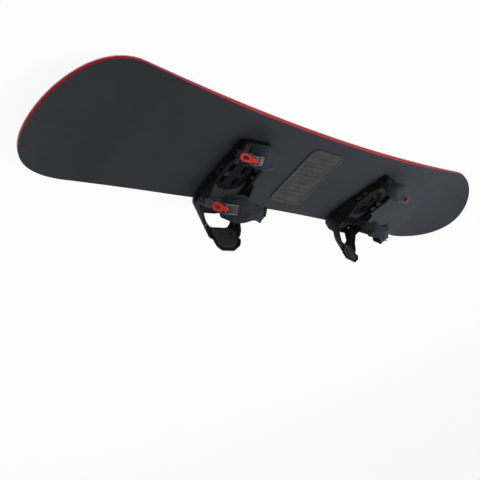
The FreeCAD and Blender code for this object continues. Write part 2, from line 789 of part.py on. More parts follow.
def make_buckle(arch, pad_t, width, at):
    """Curved base under the ladder, two cheeks beside it and the lever's pin."""
    cheek_in = width / 2 + gap
    cheek_out = cheek_in + cheek_t
    foot = pad_t + gap
    start = at - 16
    base = band(arch, foot, foot + buckle_base_t, start, at + 40, -cheek_out, cheek_out)
    height = lever_pin_height()
    blank = box(cheek_back, cheek_front, cheek_in, cheek_out, -6, height + 3.5)
    nose_cut = box(-50, cheek_step, 0, 60, height + 0.5, 60)
    cheek = in_buckle_axes(blank.cut(nose_cut), arch, pad_t, at)
    under = band(arch, 4 - arch["rise"], foot, start, min(at + 60, 120), -60, 60)
    cheek = cheek.cut(under)
    cheeks = [cheek, cheek.mirror(V(0, 0, 0), V(0, 0, 1))]
    pin = in_buckle_axes(lever_rod(lever_pin_radius, cheek_out + 0.8), arch, pad_t, at)
    hole = in_buckle_axes(lever_rod(lever_pin_radius + seat_gap, 40), arch, pad_t, at)
    return [fuse([base] + cheeks).cut(hole), pin]


def teardrop(x1, r1, x2, r2, low, high):
    """Two round ends joined by their common tangents."""
    ratio = (r1 - r2) / (x2 - x1)
    rise = sqrt(1 - ratio ** 2)
    big = [V(x1 + r1 * ratio, s * r1 * rise, 0) for s in (1, -1)]
    small = [V(x2 + r2 * ratio, s * r2 * rise, 0) for s in (1, -1)]
    edges = [
        Part.Arc(big[0], V(x1 - r1, 0, 0), big[1]).toShape(),
        Part.Arc(small[0], V(x2 + r2, 0, 0), small[1]).toShape(),
        Part.makeLine(big[0], small[0]),
        Part.makeLine(big[1], small[1]),
    ]
    solid = face_of(edges).extrude(V(0, 0, high - low))
    solid.translate(V(0, 0, low))
    return solid


def make_lever(arch, pad_t, width, at):
    mid = lever_pin_height()
    low = mid - lever_t / 2
    high = mid + lever_t / 2
    ring = width / 2 + 1.5
    solid = teardrop(-lever_tail, ring, lever_pin_place + 1, width / 4, low, high)
    hollow = teardrop(1 - lever_tail, ring * 0.5, -2, ring * 0.22, low - 5, high + 5)
    solid = cut_all(solid, [hollow, lever_rod(lever_pin_radius + fit, 40)])
    return in_buckle_axes(solid, arch, pad_t, at)


def make_strap_bolts(arch, pad_t, inner_face, outer_face):
    """Bolts through the binding's side walls: outside for the ladder, inside for the link."""
    bolts = []
    spans = ((pad_t + buckle_base_t + 2 * gap, ladder_t, 1), (pad_t + gap, link_t, -1))
    for offset, thickness, side in spans:
        start = arch["half"] + offset
        end = start + thickness + gap
        nut_face = inner_face - gap
        shank = rod(strap_bolt_radius, inner_face - 1, end, 0, 0)
        head = rod(strap_head_radius, end, end + strap_head_t, 0, 0)
        nut = rod(strap_head_radius - 1.5, nut_face - strap_nut_t, nut_face, 0, 0)
        pieces = [shank, head, nut]
        if start - outer_face > 1.0:
            pieces.append(rod(strap_head_radius - 1, outer_face + 0.1, start - gap, 0, 0))
        bolt = fuse(pieces).cut(rod(socket_radius, end + 1.2, end + 9, 0, 0))
        bolt.translate(V(0, arch["v"], arch["w"]))
        bolts.append(bolt if side > 0 else bolt.mirror(V(0, 0, 0), V(1, 0, 0)))
    return bolts


def make_ankle_strap():
    pad = band(ankle, 0, ankle_pad_t, ankle_pad_start, ankle_pad_end, -60, 60)
    at = ankle_buckle_at
    width = ankle_ladder_width
    return {
        "ankle_pad": pad.common(plan_cut(ankle_outline)),
        "ankle_ladder": make_ladder(ankle, ankle_pad_t, width, ankle_ladder_stop, ankle_tooth_pitch),
        "ankle_link": make_link(ankle, ankle_pad_t, ankle_link_width, ankle_link_start),
        "ankle_buckle": make_buckle(ankle, ankle_pad_t, width, at),
        "ankle_lever": make_lever(ankle, ankle_pad_t, width, at),
    }


def make_toe_strap():
    cap = band(toe, 0, toe_pad_thick, toe_cap_start, toe_cap_end, -60, 60)
    at = toe_buckle_at
    width = toe_ladder_width
    return {
        "toe_cap": cap.common(plan_cut(toe_outline)),
        "toe_ladder": make_ladder(toe, toe_pad_thick, width, toe_ladder_stop, toe_tooth_pitch),
        "toe_link": make_link(toe, toe_pad_thick, width, toe_link_start),
        "toe_buckle": make_buckle(toe, toe_pad_thick, width, at),
        "toe_lever": make_lever(toe, toe_pad_thick, width, at),
    }


# ------------------------------------------------------------------- binding, placing
def solids_of(piece):
    return list(piece) if isinstance(piece, (list, tuple)) else [piece]


def place_on_board(shape, binding, turned=True):
    placed = shape.copy()
    if turned:
        if binding["outside"] < 0:
            placed = placed.mirror(V(0, 0, 0), V(1, 0, 0))
        placed.rotate(V(0, 0, 0), V(0, 0, 1), -binding["turn"])
    placed.translate(V(binding["x"], binding["y"], top))
    return placed


def make_binding_pieces():
    heel_pad, toe_pad = make_footbeds()
    pieces = {
        "gasket": make_gasket(),
        "baseplate": make_baseplate(),
        "heelcup": make_heelcup(),
        "heelcup_bolts": make_heelcup_bolts(),
        "heel_footbed": heel_pad,
        "toe_footbed": toe_pad,
        "highback": make_highback(),
        "highback_pad": make_highback_pad(),
        "highback_pivots": make_highback_pivots(),
        "lean_adjuster": make_lean_adjuster(),
    }
    inner_face = hoop_half - hoop_wall
    pieces["ankle_bolts"] = make_strap_bolts(ankle, ankle_pad_t, inner_face, hoop_half)
    pieces["toe_bolts"] = make_strap_bolts(
        toe, toe_pad_thick, plate_strap_half - rail_width, plate_strap_half)
    for name, piece in make_ankle_strap().items():
        pieces[name] = [on_arch(solid, ankle) for solid in solids_of(piece)]
    for name, piece in make_toe_strap().items():
        pieces[name] = [on_arch(solid, toe) for solid in solids_of(piece)]
    return pieces


def make_bindings():
    pieces = make_binding_pieces()
    for name, binding in bindings.items():
        for piece_name, piece in pieces.items():
            placed = [place_on_board(solid, binding) for solid in solids_of(piece)]
            export("%s_%s" % (name, piece_name), placed)
        disc, screws = make_disc(binding)
        export("%s_disc" % name, place_on_board(disc, binding, turned=False))
        export("%s_disc_screws" % name, [place_on_board(s, binding, turned=False) for s in screws])


make_board()
make_stomp_pad()
make_bindings()
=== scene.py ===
"""Looks for a snowboard with two strap bindings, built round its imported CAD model.

Everything is in metres in the row frame: X along the board, Y toward the toe edge,
Z up from the snow side.
"""

import json
import math

import bmesh
import bpy
import numpy as np
from mathutils import Matrix, Vector


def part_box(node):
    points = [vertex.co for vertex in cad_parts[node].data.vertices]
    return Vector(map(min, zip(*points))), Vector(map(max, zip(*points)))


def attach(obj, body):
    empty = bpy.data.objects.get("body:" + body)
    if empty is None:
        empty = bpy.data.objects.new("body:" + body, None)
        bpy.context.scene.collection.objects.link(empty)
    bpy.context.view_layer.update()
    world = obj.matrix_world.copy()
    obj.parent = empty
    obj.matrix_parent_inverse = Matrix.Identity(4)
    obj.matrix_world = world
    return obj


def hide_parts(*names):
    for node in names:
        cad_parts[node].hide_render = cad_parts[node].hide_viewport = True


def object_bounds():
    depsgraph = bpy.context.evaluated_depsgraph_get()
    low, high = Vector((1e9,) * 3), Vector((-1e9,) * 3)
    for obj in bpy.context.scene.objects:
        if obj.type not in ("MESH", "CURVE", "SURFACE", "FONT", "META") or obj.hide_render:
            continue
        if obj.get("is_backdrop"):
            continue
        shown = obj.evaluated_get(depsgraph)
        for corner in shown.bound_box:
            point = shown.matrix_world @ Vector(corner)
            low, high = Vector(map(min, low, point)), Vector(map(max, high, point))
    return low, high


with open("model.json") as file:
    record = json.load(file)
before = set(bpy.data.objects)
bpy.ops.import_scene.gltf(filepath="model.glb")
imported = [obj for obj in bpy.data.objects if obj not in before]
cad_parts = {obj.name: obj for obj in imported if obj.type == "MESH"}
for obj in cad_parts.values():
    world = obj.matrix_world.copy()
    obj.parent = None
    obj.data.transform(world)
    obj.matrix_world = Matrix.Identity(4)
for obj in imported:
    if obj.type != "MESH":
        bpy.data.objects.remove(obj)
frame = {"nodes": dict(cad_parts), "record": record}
cad_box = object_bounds()
nodes = frame["nodes"]
scene = bpy.context.scene


# ------------------------------------------------------------------ node helpers
def link(tree, a, b):
    tree.links.new(a, b)


def position(tree, scale=(1, 1, 1)):
    """Object coordinates in metres, stretched by scale."""
    coords = tree.nodes.new("ShaderNodeTexCoord")
    mapping = tree.nodes.new("ShaderNodeMapping")
    mapping.inputs["Scale"].default_value = scale
    link(tree, coords.outputs["Object"], mapping.inputs["Vector"])
    return mapping.outputs["Vector"]


def noise(tree, scale, detail=3.0, rough=0.55, stretch=(1, 1, 1)):
    """Noise from 0 to 1 with scale features to the metre."""
    node = tree.nodes.new("ShaderNodeTexNoise")
    node.inputs["Scale"].default_value = scale
    node.inputs["Detail"].default_value = detail
    node.inputs["Roughness"].default_value = rough
    link(tree, position(tree, stretch), node.inputs["Vector"])
    return node.outputs["Fac"]


def voronoi(tree, scale):
    node = tree.nodes.new("ShaderNodeTexVoronoi")
    node.inputs["Scale"].default_value = scale
    link(tree, position(tree), node.inputs["Vector"])
    return node.outputs["Distance"]


def remap(tree, value, low, high, to_low=0.0, to_high=1.0):
    """Stretches low..high onto to_low..to_high and clips outside it."""
    node = tree.nodes.new("ShaderNodeMapRange")
    node.inputs["From Min"].default_value = low
    node.inputs["From Max"].default_value = high
    node.inputs["To Min"].default_value = to_low
    node.inputs["To Max"].default_value = to_high
    link(tree, value, node.inputs["Value"])
    return node.outputs["Result"]


def combine(tree, operation, a, b):
    node = tree.nodes.new("ShaderNodeMath")
    node.operation = operation
    for socket, value in ((node.inputs[0], a), (node.inputs[1], b)):
        if isinstance(value, (int, float)):
            socket.default_value = value
        else:
            link(tree, value, socket)
    return node.outputs["Value"]


def blend_colours(tree, factor, a, b):
    node = tree.nodes.new("ShaderNodeMix")
    node.data_type = "RGBA"
    link(tree, factor, node.inputs["Factor"])
    for socket, value in ((node.inputs["A"], a), (node.inputs["B"], b)):
        if isinstance(value, tuple):
            socket.default_value = (*value, 1)
        else:
            link(tree, value, socket)
    return node.outputs["Result"]


def bump(tree, height, distance, onto=None):
    """Normal raised by distance metres where height is 1, on top of another bump if given."""
    node = tree.nodes.new("ShaderNodeBump")
    node.inputs["Strength"].default_value = 1.0
    node.inputs["Distance"].default_value = distance
    link(tree, height, node.inputs["Height"])
    if onto is not None:
        link(tree, onto, node.inputs["Normal"])
    return node.outputs["Normal"]


def seen_as_background(tree):
    """1 for rays that come straight, mirrored or through glass from the camera, else 0."""
    rays = tree.nodes.new("ShaderNodeLightPath")
    seen = combine(tree, "MAXIMUM", rays.outputs["Is Camera Ray"], rays.outputs["Is Glossy Ray"])
    return combine(tree, "MAXIMUM", seen, rays.outputs["Is Transmission Ray"])


def srgb(red, green, blue):
    """A colour as it looks on screen, 0 to 255, turned into the linear one shaders use."""
    def linear(value):
        value /= 255
        return value / 12.92 if value <= 0.04045 else ((value + 0.055) / 1.055) ** 2.4
    return (linear(red), linear(green), linear(blue))


def shader(name, metallic=0.0, specular=0.5, sheen=0.0):
    material = bpy.data.materials.new(name)
    material.use_nodes = True
    tree = material.node_tree
    bsdf = tree.nodes["Principled BSDF"]
    bsdf.inputs["Metallic"].default_value = metallic
    bsdf.inputs["Specular IOR Level"].default_value = specular
    bsdf.inputs["Sheen Weight"].default_value = sheen
    bsdf.inputs["Sheen Roughness"].default_value = 0.5
    return material, tree, bsdf


def finish_surface(tree, bsdf, colour, rough, normal):
    link(tree, colour, bsdf.inputs["Base Color"])
    link(tree, rough, bsdf.inputs["Roughness"])
    link(tree, normal, bsdf.inputs["Normal"])


def moulded(name, dark, light, rough, grain=2600, depth=0.00006, specular=0.5):
    """Moulded plastic: fine spark-eroded grain, slight flow marks and uneven gloss."""
    material, tree, bsdf = shader(name, specular=specular)
    flow = noise(tree, 38, detail=2)
    colour = blend_colours(tree, remap(tree, flow, 0.35, 0.65), dark, light)
    gloss = remap(tree, noise(tree, 160, detail=4), 0.3, 0.7, rough - 0.07, rough + 0.07)
    normal = bump(tree, noise(tree, grain, detail=2), depth)
    finish_surface(tree, bsdf, colour, gloss, normal)
    return material


WAVE_PITCH = 0.314      # metres between a wave texture's bands at scale 1


def woven(name, dark, light, rough, pitch=0.0009, depth=0.00012, sheen=0.0):
    """Tightly woven cloth that needs no UVs: crossed waves set by position."""
    material, tree, bsdf = shader(name, specular=0.12, sheen=sheen)
    heights = []
    for axis in ("X", "Y", "Z"):
        wave = tree.nodes.new("ShaderNodeTexWave")
        wave.wave_type = "BANDS"
        wave.bands_direction = axis
        wave.inputs["Scale"].default_value = WAVE_PITCH / pitch
        wave.inputs["Distortion"].default_value = 0.6
        wave.inputs["Detail"].default_value = 1.0
        link(tree, position(tree), wave.inputs["Vector"])
        heights.append(wave.outputs["Fac"])
    height = combine(tree, "ADD", combine(tree, "MULTIPLY", heights[0], heights[1]), heights[2])
    cloth = remap(tree, noise(tree, 70, detail=5), 0.3, 0.7)
    colour = blend_colours(tree, cloth, dark, light)
    gloss = remap(tree, height, 0, 2, rough + 0.08, rough - 0.05)
    normal = bump(tree, height, depth)
    finish_surface(tree, bsdf, colour, gloss, normal)
    return material


def metal(name, dark, light, rough, stretch=(1, 1, 1), grain=900):
    """Metal with brushing along one axis and handling marks."""
    material, tree, bsdf = shader(name, metallic=1.0)
    lines = noise(tree, grain, detail=4, stretch=stretch)
    marks = noise(tree, 90, detail=6)
    colour = blend_colours(tree, remap(tree, marks, 0.35, 0.7), dark, light)
    gloss = remap(tree, lines, 0.3, 0.7, rough - 0.08, rough + 0.1)
    normal = bump(tree, lines, 0.00003)
    finish_surface(tree, bsdf, colour, gloss, normal)
    return material


def foam(name, dark, light, rough=0.85, cell=1500, depth=0.0002):
    """Moulded closed-cell foam: pores and a faint mottle."""
    material, tree, bsdf = shader(name, specular=0.25)
    cells = voronoi(tree, cell)
    colour = blend_colours(tree, remap(tree, noise(tree, 220, detail=4), 0.35, 0.65), dark, light)
    gloss = remap(tree, cells, 0, 0.6, rough, rough - 0.15)
    normal = bump(tree, cells, depth, onto=bump(tree, noise(tree, 240, detail=3), 0.0003))
    finish_surface(tree, bsdf, colour, gloss, normal)
    return material


# --------------------------------------------------------------------- materials
def topsheet_material():
    """Matt topsheet: charcoal at the nose, with painted light and a painted bluish sheen that make
    it lighter and bluer toward the tail, fine scuffs.
    """
    material, tree, bsdf = shader("topsheet_matt", specular=0.1)
    coords = tree.nodes.new("ShaderNodeTexCoord")
    split = tree.nodes.new("ShaderNodeSeparateXYZ")
    link(tree, coords.outputs["Object"], split.inputs["Vector"])
    # Painted light and painted sheen: the colour turns lighter and bluer toward the tail, the end
    # the key light falls on.
    ends = remap(tree, split.outputs["X"], -0.6, 0.6)
    colour = blend_colours(tree, ends, srgb(41, 42, 46), srgb(58, 60, 68))
    mottle = remap(tree, noise(tree, 9, detail=5), 0.35, 0.65, 0.0, 0.4)
    colour = blend_colours(tree, mottle, colour, srgb(49, 49, 55))
    scuffs = remap(tree, noise(tree, 60, detail=8, rough=0.7, stretch=(0.25, 3, 1)), 0.66, 0.74)
    colour = blend_colours(tree, combine(tree, "MULTIPLY", scuffs, 0.2), colour, srgb(72, 72, 78))
    gloss = remap(tree, noise(tree, 30, detail=6), 0.3, 0.7, 0.66, 0.76)
    fine = bump(tree, noise(tree, 1800, detail=3), 0.00005)
    normal = bump(tree, scuffs, 0.00003, onto=fine)
    finish_surface(tree, bsdf, colour, gloss, normal)
    return material


def sidewall_material():
    """Red sidewall with grinding lines along the board and a few rubs."""
    material, tree, bsdf = shader("sidewall_red", specular=0.03)
    lines = noise(tree, 700, detail=3, stretch=(0.04, 0.3, 3))
    rubs = remap(tree, noise(tree, 25, detail=7), 0.60, 0.72)
    colour = blend_colours(tree, remap(tree, lines, 0.3, 0.7), srgb(170, 15, 25), srgb(192, 25, 34))
    colour = blend_colours(tree, combine(tree, "MULTIPLY", rubs, 0.4), colour, srgb(142, 20, 28))
    gloss = remap(tree, lines, 0.3, 0.7, 0.28, 0.42)
    finish_surface(tree, bsdf, colour, gloss, bump(tree, lines, 0.00004))
    return material


def base_material():
    """Sintered running base: near black with the stone grind's fine linear structure."""
    material, tree, bsdf = shader("running_base", specular=0.5)
    grind = noise(tree, 1400, detail=2, stretch=(0.02, 1, 0.2))
    wax = noise(tree, 14, detail=6, stretch=(0.4, 1, 1))
    colour = blend_colours(tree, remap(tree, wax, 0.35, 0.65), srgb(26, 26, 29), srgb(40, 40, 44))
    gloss = remap(tree, wax, 0.3, 0.7, 0.30, 0.46)
    finish_surface(tree, bsdf, colour, gloss, bump(tree, grind, 0.00005))
    return material


def grained_wood_material():
    """Wood core with its grain along the board."""
    material, tree, bsdf = shader("core_wood", specular=0.3)
    grain = noise(tree, 220, detail=6, stretch=(0.05, 1, 1))
    streaks = remap(tree, grain, 0.35, 0.65)
    colour = blend_colours(tree, streaks, srgb(176, 134, 84), srgb(214, 178, 124))
    gloss = remap(tree, grain, 0.3, 0.7, 0.55, 0.7)
    finish_surface(tree, bsdf, colour, gloss, bump(tree, grain, 0.0001))
    return material


def stomp_material():
    """Soft rubber mat with a stippled surface."""
    material, tree, bsdf = shader("stomp_rubber", specular=0.12)
    dots = voronoi(tree, 900)
    dust = remap(tree, noise(tree, 45, detail=6), 0.4, 0.7)
    colour = blend_colours(tree, dust, srgb(57, 57, 58), srgb(70, 70, 71))
    gloss = remap(tree, dots, 0, 0.6, 0.75, 0.6)
    finish_surface(tree, bsdf, colour, gloss, bump(tree, dots, 0.0003))
    return material


def lever_material():
    """Coral red glass-filled nylon, rubbed darker in random patches."""
    material, tree, bsdf = shader("lever_red", specular=0.2)
    wear = remap(tree, noise(tree, 130, detail=6), 0.5, 0.72)
    colour = blend_colours(tree, wear, srgb(226, 52, 48), srgb(188, 38, 40))
    gloss = remap(tree, noise(tree, 260, detail=3), 0.3, 0.7, 0.3, 0.44)
    finish_surface(tree, bsdf, colour, gloss, bump(tree, noise(tree, 2400), 0.00005))
    return material


def make_materials():
    """One material for each slot of the record, and three for the padded parts alone."""
    return {
        "topsheet": topsheet_material(),
        "sidewall": sidewall_material(),
        "steel": metal("edge_steel", srgb(150, 152, 156), srgb(190, 192, 196), 0.32, (0.05, 1, 1)),
        "base": base_material(),
        "laminate": moulded(
            "glass_laminate", srgb(120, 118, 98), srgb(150, 146, 120), 0.4, grain=900),
        "core": grained_wood_material(),
        "spacer": moulded("tip_spacer", srgb(40, 40, 44), srgb(52, 52, 56), 0.5),
        "insert": metal("insert_steel", srgb(140, 142, 146), srgb(180, 182, 186), 0.36),
        "grip": stomp_material(),
        "chassis": moulded(
            "chassis_nylon", srgb(11, 11, 13), srgb(17, 17, 19), 0.62, specular=0.07),
        "hoop": moulded("hoop_nylon", srgb(13, 13, 15), srgb(20, 20, 22), 0.58, specular=0.12),
        "foam": foam("bed_foam", srgb(30, 31, 33), srgb(42, 43, 45)),
        "rubber": foam("gasket_rubber", srgb(22, 22, 23), srgb(30, 30, 31), rough=0.75, cell=2500),
        "screw": metal("screw_steel", srgb(36, 36, 38), srgb(60, 61, 64), 0.42),
        "pad": woven("pad_cloth", srgb(30, 33, 38), srgb(42, 46, 52), 0.76, sheen=0.03),
        "cap": moulded(
            "toe_cap_skin", srgb(16, 25, 33), srgb(26, 37, 46), 0.54, grain=1500, specular=0.12),
        "ladder": moulded(
            "ladder_urethane", srgb(48, 51, 56), srgb(64, 67, 72), 0.46, depth=0.00004,
            specular=0.25),
        "link": moulded("link_urethane", srgb(19, 20, 22), srgb(28, 29, 32), 0.52, specular=0.12),
        "buckle": metal("buckle_alloy", srgb(66, 67, 70), srgb(92, 93, 97), 0.38),
        "lever": lever_material(),
        "piping": woven("edge_binding", srgb(30, 31, 34), srgb(40, 42, 46), 0.7, pitch=0.0007),
        "thread": moulded("sewing_thread", srgb(64, 67, 72), srgb(82, 85, 90), 0.6, grain=4000),
        "lining": woven("highback_lining", srgb(30, 31, 34), srgb(42, 43, 47), 0.78, sheen=0.05),
    }


materials = make_materials()


def dress_nodes():
    """Every carried-over CAD node gets the material of its slot in the record."""
    for part in frame["record"]["subparts"]:
        node = nodes[part["node"]]
        node.data.materials.clear()
        node.data.materials.append(materials[part["material_slot"]])


dress_nodes()


# ------------------------------------------------------------ padded parts, by shape
# A strap's pad lies on an arch: two straight sides and half an ellipse.  A place on it
# is degrees from the outside of the foot; below 0 it is millimetres down the side.
# Lengths in this part are millimetres and are turned into metres by the surface.  An
# outline's rows are the distance across the foot, more to the outside, the edge toward the
# toes and the edge toward the heel.
MM = 0.001
UP = Vector((0, 0, 1))
ANKLE = {
    "half": 52, "shoulder": 68, "rise": 34, "tilt": 52, "thick": 10, "start": -14, "end": 155,
    "outline": [
        (70, -20, 18), (57, -28, 25), (46, -34, 29), (30, -36, 29), (18, -31, 27),
        (6, -20, 23), (-6, -16, 19), (-20, -15, 20), (-34, -17, 25), (-46, -19, 27),
        (-58, -20, 27)],
}
TOE = {
    "half": 44, "shoulder": 18, "rise": 27, "tilt": 64, "thick": 6, "start": 20, "end": 184,
    "outline": [
        (54, -14, 5), (44, -23, 11), (38, -28, 16), (24, -34, 21), (4, -36, 22),
        (-10, -35, 22), (-24, -31, 23), (-36, -25, 22), (-44, -17, 18), (-52, -9, 10)],
}
HIGHBACK = {
    # plan of the shell's inner wall: radius of its corners, half the straight between
    # them, and the straight's place from the hinge line, less toward the heel
    "corner": 36.1, "middle": 15.5, "back": -33.6,
    # half the pad's width along the wall, then heights above the hinge: its lower edge,
    # its top edge at distances from the middle, and its sewn channels
    "reach": 38.0, "low": 42.5,
    "top_at": [0, 15, 30, 38], "top": [100.5, 100.5, 90, 78],
    "channels": (58.0, 72.0, 86.0),
}
STITCH_SPACING = 3.6
STITCH_LIFTS = (-0.25, 0.25, 0.25, -0.25)
THREAD_RADIUS = 0.32
PIPING_RADIUS = 1.7
PIPING_STEP = 2.0
INNER_LIFT = 0.5        # inner skin's height above the arch, away from the rim
RIM_LIFT = 0.7          # how much higher it lies at the rim
WELD = 0.00002          # metres
joints = {joint["name"]: joint for joint in frame["record"]["behaviour"]["joints"]}


def smooth(values, passes):
    """Running average that keeps both ends."""
    values = np.array(values, float)
    for _ in range(passes):
        values[1:-1] = (values[:-2] + 2 * values[1:-1] + values[2:]) / 4
    return values


def strap_surface(binding, strap, arch):
    """Maps (place, across, height) on a strap's arch to a point in the row frame."""
    joint = joints["%s_%s_strap_swing" % (binding, strap)]
    centre = Vector(joint["pos_m"])
    side = -Vector(joint["axis"])
    toward_toes = UP.cross(side)
    outward = side if centre.x > 0 else -side
    tilt = math.radians(arch["tilt"])
    up = toward_toes * math.cos(tilt) + UP * math.sin(tilt)
    along = UP * math.cos(tilt) - toward_toes * math.sin(tilt)

    def point(place, across, height):
        reach = arch["half"] + height
        if place < 0:
            x, y = reach, arch["shoulder"] + place
        elif place > 180:
            x, y = -reach, arch["shoulder"] - (place - 180)
        else:
            turn = math.radians(place)
            x = reach * math.cos(turn)
            y = arch["shoulder"] + (arch["rise"] + height) * math.sin(turn)
        return centre + (outward * x + up * y + along * across) * MM

    return point


def strap_rows(arch, count):
    """Even rows along a strap pad: place, distance along it, and its two edges."""
    fine = np.linspace(arch["start"], arch["end"], 600)
    middle = arch["half"] + arch["thick"] / 2
    rise = arch["rise"] + arch["thick"] / 2
    turn = np.radians(np.clip(fine, 0, 180))
    x = middle * np.cos(turn)
    y = rise * np.sin(turn) + np.minimum(fine, 0) - np.maximum(fine - 180, 0)
    run = np.concatenate([[0], np.cumsum(np.hypot(np.diff(x), np.diff(y)))])
    at = np.linspace(0, run[-1], count)
    place = np.interp(at, run, fine)
    spots = np.interp(at, run, x)
    table = sorted(arch["outline"])
    low = np.interp(spots, [row[0] for row in table], [row[1] for row in table])
    high = np.interp(spots, [row[0] for row in table], [row[2] for row in table])
    return place, at, smooth(low, 30), smooth(high, 30)


def round_ends(at, low, high, first, last):
    """Closes a pad's outline with a round at each end, a little squarer than a circle."""
    power = 2.6
    middle = (low + high) / 2
    scale = np.ones(len(at))
    for distance, radius in ((at, first), (at[-1] - at, last)):
        short = np.clip(1 - distance / radius, 0, 1)
        scale = np.minimum(scale, (1 - short ** power) ** (1 / power))
    return middle + (low - middle) * scale, middle + (high - middle) * scale


def edge_distance(at, across, low, high, end):
    """How far a point is from the nearest edge of the pad, rounded off in the corners."""
    power = 5.0
    total = 0.0
    for gap in (across - low, high - across, at + 1.0, end - at + 1.0):
        total += max(gap, 0.05) ** -power
    return total ** (-1 / power)


def ease(value):
    """Smooth step from 0 to 1."""
    value = min(max(value, 0.0), 1.0)
    return value * value * (3 - 2 * value)


def dip(value, middle, width):
    """Bell-shaped groove, 1 at its middle."""
    return math.exp(-((value - middle) / width) ** 2)


def inner_height(inside, along, across):
    """Height of a pad's inner skin, turned up a little toward the rim."""
    return INNER_LIFT + RIM_LIFT * (1 - ease(inside / 4))


def skin_grid(mesh, surface, rows, height, columns):
    """One skin of a pad as rows of vertices with faces between them, closer at the edges."""
    place, at, low, high = rows
    grid = []
    for i in range(len(at)):
        line = []
        for j in range(columns + 1):
            even = 2 * j / columns - 1
            spread = 0.45 * even + 0.55 * math.sin(even * math.pi / 2)
            across = (low[i] + high[i]) / 2 + (high[i] - low[i]) / 2 * spread
            inside = edge_distance(at[i], across, low[i], high[i], at[-1])
            rise = height(inside, at[i], across)
            line.append(mesh.verts.new(surface(place[i], across, rise)))
        grid.append(line)
    for a, b in zip(grid, grid[1:]):
        for j in range(columns):
            mesh.faces.new((a[j], a[j + 1], b[j + 1], b[j]))
    return grid


def padded_mesh(name, surface, rows, height, columns):
    """Closed pad: a crowned outer skin and a flat inner one that meet round the edge."""
    mesh = bmesh.new()
    outer = skin_grid(mesh, surface, rows, height, columns)
    inner = skin_grid(mesh, surface, rows, inner_height, columns)
    last = len(outer) - 1
    for i in range(last):
        for j in (0, columns):
            mesh.faces.new((outer[i][j], outer[i + 1][j], inner[i + 1][j], inner[i][j]))
    for i in (0, last):
        for j in range(columns):
            mesh.faces.new((outer[i][j], outer[i][j + 1], inner[i][j + 1], inner[i][j]))
    bmesh.ops.remove_doubles(mesh, verts=mesh.verts, dist=WELD)
    bmesh.ops.recalc_face_normals(mesh, faces=mesh.faces)
    data = bpy.data.meshes.new(name)
    mesh.to_mesh(data)
    mesh.free()
    data.polygons.foreach_set("use_smooth", [True] * len(data.polygons))
    piece = bpy.data.objects.new(name, data)
    scene.collection.objects.link(piece)
    return piece


def outline_loop(rows, inset, spacing):
    """Points (place, distance along, across) every spacing round the pad, moved in by inset."""
    place, at, low, high = rows
    loop = [(a, b) for a, b in zip(at, low)] + [(a, b) for a, b in zip(at[::-1], high[::-1])]
    loop = np.array(loop)
    step = np.roll(loop, -1, axis=0) - np.roll(loop, 1, axis=0)
    step /= np.maximum(np.hypot(step[:, 0], step[:, 1])[:, None], 1e-6)
    inward = np.column_stack([-step[:, 1], step[:, 0]])
    loop = loop + inward * inset
    closed = np.vstack([loop, loop[:1]])
    run = np.concatenate([[0], np.cumsum(np.hypot(*np.diff(closed, axis=0).T))])
    count = max(int(run[-1] / spacing), 8)
    spots = np.linspace(0, run[-1], count, endpoint=False)
    along = np.clip(np.interp(spots, run, closed[:, 0]), at[0], at[-1])
    across = np.interp(spots, run, closed[:, 1])
    return [(np.interp(a, at, place), a, b) for a, b in zip(along, across)]


def thread_curve(name, lines, radius, closed):
    """Round threads through lists of points in metres, as one object; radius in mm."""
    curve = bpy.data.curves.new(name, "CURVE")
    curve.dimensions = "3D"
    curve.bevel_depth = radius * MM
    curve.bevel_resolution = 2
    curve.use_fill_caps = not closed
    for points in lines:
        spline = curve.splines.new("POLY")
        spline.points.add(len(points) - 1)
        for knot, place in zip(spline.points, points):
            knot.co = (*place, 1)
        spline.use_cyclic_u = closed
    piece = bpy.data.objects.new(name, curve)
    scene.collection.objects.link(piece)
    return piece


def add_piping(name, surface, rows, inset, height):
    """Bound edge: a round welt that follows the pad's outline."""
    loop = outline_loop(rows, inset, PIPING_STEP)
    points = [surface(place, across, height) for place, _, across in loop]
    return thread_curve(name, [points], PIPING_RADIUS, True)


def add_stitches(name, surface, rows, inset, height):
    """A row of thread stitches that dip into the cloth at both ends."""
    knots = len(STITCH_LIFTS)
    loop = outline_loop(rows, inset, STITCH_SPACING / knots)
    lines = []
    for start in range(0, len(loop) // knots * knots, knots):
        stitch = []
        for (place, along, across), lift in zip(loop[start:start + knots], STITCH_LIFTS):
            stitch.append(surface(place, across, height(inset, along, across) + lift))
        lines.append(stitch)
    return thread_curve(name, lines, THREAD_RADIUS, False)


def settle(piece, body, slot_name, material, *replaced):
    """Gives a piece its material and body, and hides the CAD nodes that it stands for. The slot
    name is not used.
    """
    piece.data.materials.append(material)
    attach(piece, body)
    if replaced:
        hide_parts(*replaced)


def add_ankle_cushion(binding):
    """Sewn ankle pad: bound edge, a stitched groove inside it and a raised panel."""
    surface = strap_surface(binding, "ankle", ANKLE)
    place, at, low, high = strap_rows(ANKLE, count=150)
    low, high = round_ends(at, low, high, first=15, last=7)
    rows = (place, at, low, high)
    thick = ANKLE["thick"]

    def height(inside, along, across):
        rise = 4.6 * (1 - 0.6 * (1 - ease(inside / 1.8)))       # rim
        rise += (thick - 4.7) * ease((inside - 4.6) / 8.5)      # raised panel
        rise -= 0.8 * dip(inside, 4.6, 0.9)                     # stitched groove
        return rise

    body = binding + "_ankle_strap"
    cushion = padded_mesh(binding + "_ankle_cushion", surface, rows, height, columns=64)
    settle(cushion, body, "pad", materials["pad"], binding + "_ankle_pad")
    piping = add_piping(binding + "_ankle_binding", surface, rows, inset=1.2, height=2.6)
    settle(piping, body, "pad", materials["piping"])
    stitches = add_stitches(
        binding + "_ankle_stitching", surface, rows, inset=3.4, height=height)
    settle(stitches, body, "pad", materials["thread"])


